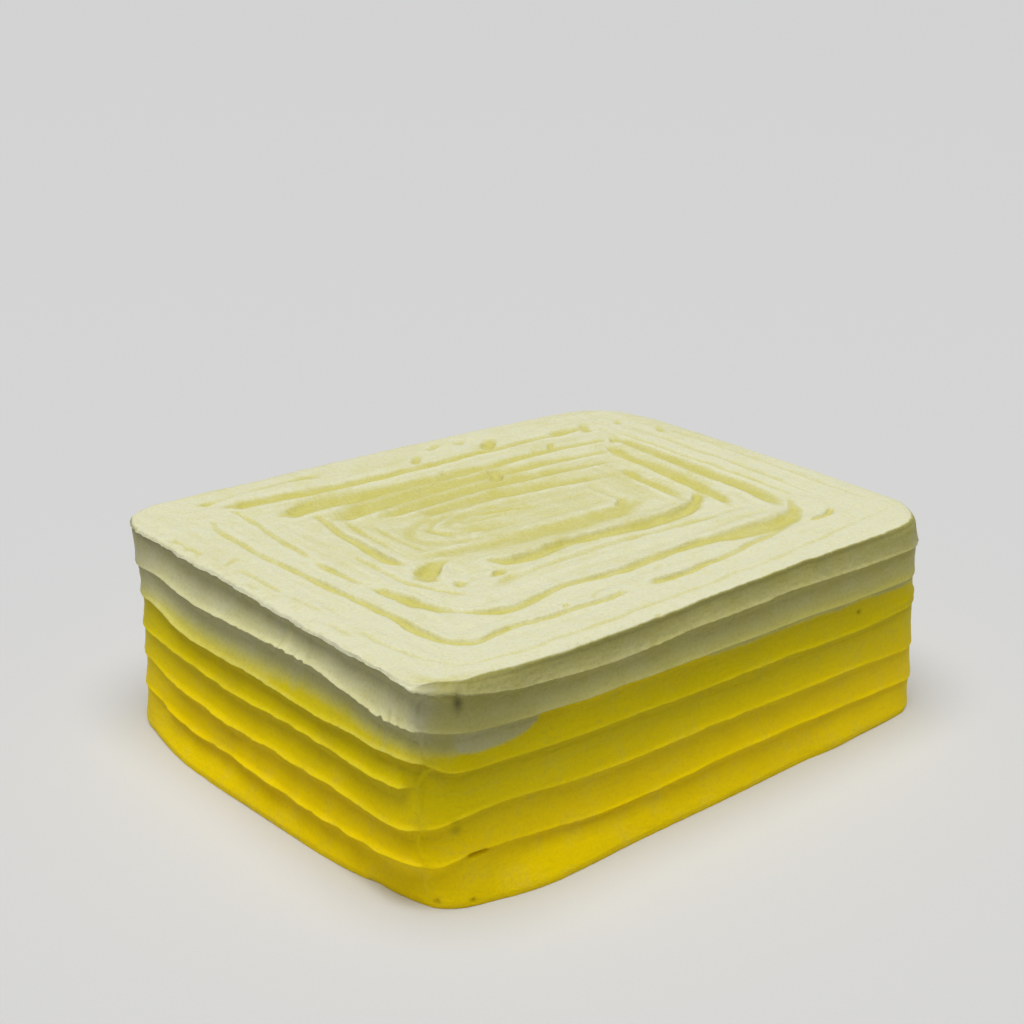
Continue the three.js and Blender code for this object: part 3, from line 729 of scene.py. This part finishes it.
    def read(self, x, y):
        """Drop below the top's level, and its olive tint with painted shade in the hollows, at plan
        points.
        """
        across = np.clip((x - TOP_ORIGIN[0] + TOP_MARGIN) / TOP_STEP, 0, len(self.wide) - 1.001)
        back = np.clip((y - TOP_ORIGIN[1] + TOP_MARGIN) / TOP_STEP, 0, len(self.deep) - 1.001)
        i, j = across.astype(int), back.astype(int)
        u, v = across - i, back - j
        result = []
        for field in (self.drop, self.tint_and_painted_shade):
            near = field[i, j] * (1 - u) + field[i + 1, j] * u
            far = field[i, j + 1] * (1 - u) + field[i + 1, j + 1] * u
            result.append(near * (1 - v) + far * v)
        return result


def top_height(drop, beyond, rim):
    """Lets the top round down to the rim; beyond is the distance in from the rim's rounding."""
    return HEIGHT - drop * smooth(0, 4, beyond) - (HEIGHT - rim) * np.exp(-beyond / 2.4)


def borders(ring):
    """Splits a ring of columns into the front, right, back and left borders of the top's grid."""
    across, deep = LONG_SIDE_STEPS + CORNER_STEPS, SHORT_SIDE_STEPS + CORNER_STEPS
    closed = np.concatenate([ring, ring[:1]])
    return (closed[:across + 1], closed[across:across + deep + 1],
            closed[across + deep:2 * across + deep + 1][::-1], closed[2 * across + deep:][::-1])


def make_top(ring):
    """The grid of the top, drawn evenly between the points and values of its border."""
    front, right, back, left = borders(ring)
    u = np.linspace(0, 1, len(front))[:, None, None]
    v = np.linspace(0, 1, len(right))[None, :, None]
    return ((1 - v) * front[:, None] + v * back[:, None] + (1 - u) * left[None] + u * right[None]
            - (1 - u) * (1 - v) * front[0] - u * (1 - v) * front[-1]
            - (1 - u) * v * back[0] - u * v * back[-1])


def side_colours(columns, z, heights):
    """Ombre, olive tint with painted shade, smudge and gold for each point of the sides, and the painted
    shade that darkens them towards black.
    """
    place = columns.place
    before_back = 1 - smooth(4.2, 5.6, np.where(place > 7.5, 0, place))
    front = smooth(7.93, 8.06, np.where(place < 4, place + 8, place)) * before_back
    left = smooth(6.9, 7.8, place) * (place < 7.999) + (place < 1)
    _, along = past_seam(columns, z)
    risen = smooth(0.07, 0.125, along)
    begun = np.where(place < 4, risen * before_back, front * (place < 7))
    reach = np.clip((along - 0.2) / 0.205, 0, 1)
    patch = np.sqrt(1 - reach ** 2) * risen
    starts = 5 - 3.5 * left * (1 - begun) - 6 * begun + 9.5 * patch
    softness = 19 - 3 * left - 12.5 * begun - 0.5 * patch
    c_edge, d_edge = heights[C], heights[D]
    cloud, grain = columns.noise(12, z / 9), columns.noise(3, z / 3)
    under = c_edge - z + 1.3 * cloud * (1 - 0.7 * patch) + 0.5 * grain * (1 - 0.7 * patch)
    ombre = smooth(0, 1, (under - starts) / softness) * (0.86 + 0.14 * front)
    ombre = np.where(z < d_edge - 0.2, np.maximum(ombre, 0.93 + 0.07 * smooth(0, 6, d_edge - z)),
                     ombre)
    above = z - c_edge
    tint = front * (0.22 + 0.22 * smooth(0.4, 1.8, place))
    tint = tint * (1 - smooth(0, 9, above + 1.5 * cloud))
    ombre = np.where(above >= 0, tint + 0.06 * (1 - smooth(0, 6, above)), ombre)
    left_end = window(place, (5.9, 6.3), (7.8, 7.98))
    # Painted highlight: paler along the bead above each edge, more on the left end.
    for edge in heights[:-2]:
        ombre *= 1 - (0.1 + 0.12 * left_end) * bell(z, edge + 0.35, 0.75)
    down = share_down(z, heights)
    shade_top = heights[RIM] + (heights[B] - 0.5 - heights[RIM]) * left_end
    below_rim = 1 - smooth(-0.4, 0.4, z - shade_top)
    # Olive tint of the sides' cream, deeper right under each edge as painted shade.
    tint_and_painted_shade = (0.32 + 0.24 * (1 - down) + 0.44 * front) * below_rim * (1 - smooth(0.3, 0.8, ombre))
    tint_and_painted_shade *= 1 - 0.35 * smooth(-0.02, 0.1, along) * patch * (above < 0)
    smudge = np.zeros(z.shape)
    for at, height, wide, tall, dark in SMUDGES:
        smudge = smudge + dark * bell(place, at, wide) * bell(z, height, tall)
    gold = smooth(56, 18, z)
    # Painted shade: the cream darkens going up the sides and right under the lips at the left end, and
    # less on the left end's lips and past the near corner.
    painted_shade = smooth(8, 86, z) * below_rim
    painted_shade *= 1 - left_end * (0.15 + 0.85 * smooth(0.25, 0.9, down))
    painted_shade *= 1 + 0.9 * left_end * (1 - smooth(0, 0.3, down)) * (z > heights[C])
    beyond_corner = smooth(0.25, 0.6, place) * (place < 4)
    painted_shade *= 1 - 0.5 * beyond_corner * bell(z, 76, 13)
    return np.stack([ombre, tint_and_painted_shade, np.clip(smudge, 0, 1), gold], -1), painted_shade


def shoulder(columns, top, edge, rim):
    """The rows that lead from the rim on to the top, and how far in the rim's points lie."""
    whole = np.ones((1, columns.count))

    def ring(inset):
        x, y = columns.outline(whole, inset[None])
        return x[0], y[0], rim_distance(x[0], y[0])[0]

    edge_inward = ring(edge)[2]
    even = blurred(edge, RAGGED_SPAN)
    rows = []
    for step, share in SHOULDER:
        x, y, inward = ring(edge + (even - edge) * share + step)
        drop, _ = top.read(x, y)
        rows.append((x, y, top_height(drop, np.maximum(inward - edge_inward, step), rim)))
    return rows, edge_inward


def make_faces(count, row_count, shape):
    """The sides' and the top's quads and the underside's triangles; shape is the top grid's."""
    here = np.arange(count)
    after = (here + 1) % count
    row = np.arange(row_count - 1)[:, None] * count
    sides = np.stack([row + here, row + after, row + count + after, row + count + here], -1)
    index = np.zeros(shape, int)
    inside = index[1:-1, 1:-1]
    inside[:] = row_count * count + np.arange(inside.size).reshape(inside.shape)
    index[:, 0], index[-1], index[:, -1], index[0] = borders((row_count - 1) * count + here)
    lid = np.stack([index[:-1, :-1], index[1:, :-1], index[1:, 1:], index[:-1, 1:]], -1)
    base = np.stack([np.full(count, row_count * count + inside.size), after, here], -1)
    return sides.reshape(-1, 4), lid.reshape(-1, 4), base


def make_mesh():
    columns, top = Columns(), Top()
    z, inset, heights = side_surface(columns)
    x, y = columns.outline(z / HEIGHT, inset + WAIST * np.sin(np.pi * z / HEIGHT))
    rows, edge_inward = shoulder(columns, top, inset[-1], heights[RIM])
    rings = np.concatenate([np.stack([x, y, z], -1), np.array(rows).transpose(0, 2, 1)])
    grid = make_top(np.stack([*rows[-1][:2], heights[RIM], edge_inward], 1))
    inner = grid[1:-1, 1:-1].reshape(-1, 4)
    drop, tint_and_painted_shade = top.read(inner[:, 0], inner[:, 1])
    inward, _ = rim_distance(inner[:, 0], inner[:, 1])
    inner[:, 2] = top_height(drop, np.maximum(inward - inner[:, 3], SHOULDER[-1][0]), inner[:, 2])
    points = np.concatenate([rings.reshape(-1, 3), inner[:, :3], [[0, 0, 0]]])
    points[:, 0], points[:, 1] = in_box(points[:, 0], points[:, 1])

    side_part, side_painted_shade = side_colours(columns, z, heights)
    _, shoulder_tint_and_painted_shade = top.read(rings[len(z):, :, 0], rings[len(z):, :, 1])
    colours = np.zeros((len(points), 4))
    colours[:z.size] = side_part.reshape(-1, 4)
    colours[z.size:-1, 1] = np.concatenate([shoulder_tint_and_painted_shade.ravel(), tint_and_painted_shade])
    colours[-1] = (1, 0, 0, 1)
    painted_shade = np.zeros(len(points))
    painted_shade[:z.size] = side_painted_shade.ravel()

    mesh = bpy.data.meshes.new("cake_icing")
    sides, lid, base = make_faces(columns.count, len(rings), grid.shape[:2])
    mesh.from_pydata((points * MM).tolist(), [], sides.tolist() + lid.tolist() + base.tolist())
    mesh.update()
    mesh.shade_smooth()
    attribute = mesh.attributes.new("icing", "FLOAT_COLOR", "POINT")
    attribute.data.foreach_set("color", colours.astype(np.float32).ravel())
    # the painted shade of the sides, per point
    attribute = mesh.attributes.new("painted_shade", "FLOAT", "POINT")
    attribute.data.foreach_set("value", painted_shade.astype(np.float32))
    add_bake_map(mesh, columns, points, len(sides), len(lid), len(rings))
    return mesh


def add_bake_map(mesh, columns, points, side_count, top_count, row_count):
    """Lays out the top, the four sides and the underside next to each other."""
    count = columns.count
    corners = np.empty(len(mesh.loops), int)
    mesh.loops.foreach_get("vertex_index", corners)
    lengths = [step + CORNER_STEPS for step in (LONG_SIDE_STEPS, SHORT_SIDE_STEPS) * 2]
    strip = np.repeat(np.arange(4), lengths)
    first = (np.cumsum(lengths) - lengths)[strip]
    run = np.append(columns.run, columns.girth)
    column = np.tile(np.arange(count), row_count - 1)[:, None]
    after = column + (0, 1, 1, 0)
    row = np.repeat(np.arange(row_count - 1), count)[:, None] + (0, 0, 1, 1)
    along = run[after] - run[first[column]]
    up = points[:row_count * count, 2].reshape(row_count, count)[row, after % count]
    up = up + np.maximum(row - (row_count - 1 - len(SHOULDER)), 0) * 0.6
    sides = np.stack([MAP_SIDES[0] + 0.2 * (strip[column] % 2) + up * MAP_SCALE,
                      MAP_SIDES[1] + 0.5 * (strip[column] // 2) + along * MAP_SCALE], -1)
    flat = points[corners, :2] * MAP_SCALE
    side_end, top_end = side_count * 4, (side_count + top_count) * 4
    uv = np.concatenate([sides.reshape(-1, 2), flat[side_end:top_end] + MAP_TOP,
                         flat[top_end:] + MAP_BASE])
    layer = mesh.uv_layers.new(name="OFBake")
    layer.data.foreach_set("uv", uv.astype(np.float32).ravel())


class Nodes:
    """A short hand for building a material's nodes."""

    def __init__(self, name):
        self.material = bpy.data.materials.new(name)
        self.material.use_nodes = True
        self.tree = self.material.node_tree
        self.shader = self.tree.nodes["Principled BSDF"]

    def add(self, kind, inputs=(), **settings):
        """A node with its inputs, as (name or number, value) pairs, and its other settings."""
        node = self.tree.nodes.new("ShaderNode" + kind)
        for key, value in settings.items():
            setattr(node, key, value)
        for socket, value in inputs:
            self.put(node.inputs[socket], value)
        return node

    def put(self, target, value):
        """Gives a socket a number, a colour, or a link from another socket."""
        if isinstance(value, bpy.types.NodeSocket):
            self.tree.links.new(value, target)
        elif target.type == "RGBA":
            target.default_value = (*value, 1.0)
        else:
            target.default_value = value

    def math(self, kind, *values, clamp=False):
        return self.add("Math", enumerate(values), operation=kind, use_clamp=clamp).outputs[0]

    def mix(self, share, a, b, kind="MIX"):
        return self.add("Mix", ((0, share), (6, a), (7, b)), data_type="RGBA",
                        blend_type=kind).outputs[2]

    def noise(self, place, scale, detail=2, rough=0.5):
        return self.add("TexNoise", (("Vector", place), ("Scale", scale),
                        ("Detail", detail), ("Roughness", rough))).outputs["Fac"]

    def split(self, colour):
        return self.add("SeparateColor", ((0, colour),)).outputs

    def ramp(self, value, stops):
        node = self.add("ValToRGB", ((0, value),))
        elements = node.color_ramp.elements
        while len(elements) < len(stops):
            elements.new(0.5)
        for element, (place, colour) in zip(elements, stops):
            element.position = place
            element.color = (*colour, 1)
        return node.outputs[0]


def buttercream():
    nodes = Nodes("buttercream")
    place = nodes.add("TexCoord").outputs["Object"]
    icing = nodes.add("Attribute", attribute_name="icing")
    ombre, tint_and_painted_shade, smudge = nodes.split(icing.outputs["Color"])
    gold = icing.outputs["Alpha"]

    cloud = nodes.math("SUBTRACT", nodes.noise(place, 90, 3), 0.5)
    grain = nodes.math("SUBTRACT", nodes.noise(place, 700, 2), 0.5)
    stirred = nodes.math("MULTIPLY_ADD", cloud, 0.14, ombre)
    stirred = nodes.math("MULTIPLY_ADD", grain, 0.08, stirred, clamp=True)
    body = nodes.ramp(stirred, OMBRE)
    body = nodes.mix(nodes.math("MULTIPLY", gold, ombre, clamp=True), body, GOLDEN)
    # Olive tint, carrying the painted shade of the hollows.
    deep = nodes.math("MULTIPLY_ADD", cloud, 0.5, tint_and_painted_shade)
    deep = nodes.math("MULTIPLY_ADD", grain, 0.3, deep, clamp=True)
    body = nodes.mix(deep, body, OLIVE)
    speck = nodes.math("MULTIPLY_ADD", grain, 0.55, 0.02, clamp=True)
    body = nodes.mix(speck, body, nodes.mix(1, body, SPECK_SHADE, "MULTIPLY"))
    # Painted shade on the sides: the cream is mixed towards black.
    painted_shade = nodes.add("Attribute", attribute_name="painted_shade").outputs["Fac"]
    body = nodes.mix(nodes.math("MULTIPLY", painted_shade, SIDE_PAINTED_SHADE), body, (0, 0, 0))
    body = nodes.mix(smudge, body, nodes.mix(1, body, SMUDGE_SHADE, "MULTIPLY"))

    bubbles = nodes.add("TexVoronoi", (("Vector", place), ("Scale", 260))).outputs
    chosen = nodes.math("LESS_THAN", nodes.split(bubbles["Color"])[0], 0.3)
    pores = nodes.math("MULTIPLY", nodes.math("LESS_THAN", bubbles["Distance"], 0.13), chosen)
    drawn = nodes.add("Mapping", (("Vector", place), ("Scale", (1, 1, 4.5)))).outputs[0]
    height = nodes.math("MULTIPLY", nodes.noise(place, 420, 4, 0.55), 0.5)
    height = nodes.math("MULTIPLY_ADD", nodes.noise(drawn, 130, 3), 0.45, height)
    height = nodes.math("MULTIPLY_ADD", nodes.noise(place, 1500, 2), 0.24, height)
    height = nodes.math("MULTIPLY_ADD", pores, -0.5, height)
    bump = nodes.add("Bump", (("Strength", 0.6), ("Distance", 0.0012),
                                        ("Height", height)))
    rough = nodes.math("MULTIPLY_ADD", cloud, 0.2, 0.52)
    for socket, value in (
            ("Base Color", body), ("Roughness", rough), ("Specular IOR Level", 0.06),
            ("Subsurface Weight", 0.18), ("Subsurface Radius", (1, 0.8, 0.35)),
            ("Subsurface Scale", 0.0009), ("Normal", bump.outputs[0])):
        nodes.put(nodes.shader.inputs[socket], value)
    return nodes.material


def add_object(name, data):
    thing = bpy.data.objects.new(name, data)
    bpy.context.scene.collection.objects.link(thing)
    return thing


def make_cake():
    cake = add_object("cake_icing", make_mesh())
    cake.data.materials.append(buttercream())
    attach(cake, "root")
    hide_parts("cake")


def make_floor():
    mesh = bpy.data.meshes.new("studio_floor")
    far = FLOOR_REACH
    corners = [(-far, -far, 0), (far, -far, 0), (far, far, 0), (-far, far, 0)]
    mesh.from_pydata(corners, [], [(0, 1, 2, 3)])
    floor = add_object("studio_floor", mesh)
    nodes = Nodes("pale_paper")
    place = nodes.add("TexCoord").outputs["Object"]
    paper = nodes.mix(nodes.noise(place, 900, 2), (0.68,) * 3, (0.71,) * 3)
    nodes.put(nodes.shader.inputs["Base Color"], paper)
    nodes.put(nodes.shader.inputs["Roughness"], 0.85)
    mesh.materials.append(nodes.material)


def make_light():
    light = bpy.data.lights.new("key", "SUN")
    light.angle = math.radians(SUN_SPREAD)
    light.energy = SUN_STRENGTH
    lamp = add_object("key", light)
    heading, elevation = math.radians(SUN_HEADING), math.radians(SUN_ELEVATION)
    flat = math.cos(elevation)
    source = Vector((flat * math.cos(heading), flat * math.sin(heading), math.sin(elevation)))
    lamp.rotation_euler = (-source).to_track_quat("-Z", "Y").to_euler()
    world = bpy.data.worlds.new("studio")
    bpy.context.scene.world = world
    world.use_nodes = True
    background = world.node_tree.nodes["Background"]
    background.inputs["Color"].default_value = (1.0, 1.0, 1.0, 1.0)
    background.inputs["Strength"].default_value = SKY_STRENGTH
    bpy.context.scene.view_settings.view_transform = "Standard"


def make_camera():
    yaw, pitch, roll = (math.radians(angle) for angle in (CAMERA_YAW, CAMERA_PITCH, CAMERA_ROLL))
    ahead = Vector((math.sin(yaw) * math.cos(pitch), math.cos(yaw) * math.cos(pitch),
                    -math.sin(pitch)))
    right = Vector((math.cos(yaw), -math.sin(yaw), 0))
    up = right.cross(ahead)
    turned_right = right * math.cos(roll) + up * math.sin(roll)
    turned_up = up * math.cos(roll) - right * math.sin(roll)
    data = bpy.data.cameras.new("camera")
    data.lens = CAMERA_LENS
    data.sensor_width = 36
    data.clip_end = 60
    camera = add_object("camera", data)
    turn = Matrix((turned_right, turned_up, -ahead)).transposed().to_4x4()
    camera.matrix_world = Matrix.Translation(CAMERA_PLACE) @ turn
    bpy.context.scene.camera = camera


make_camera()
make_floor()
make_light()
make_cake()
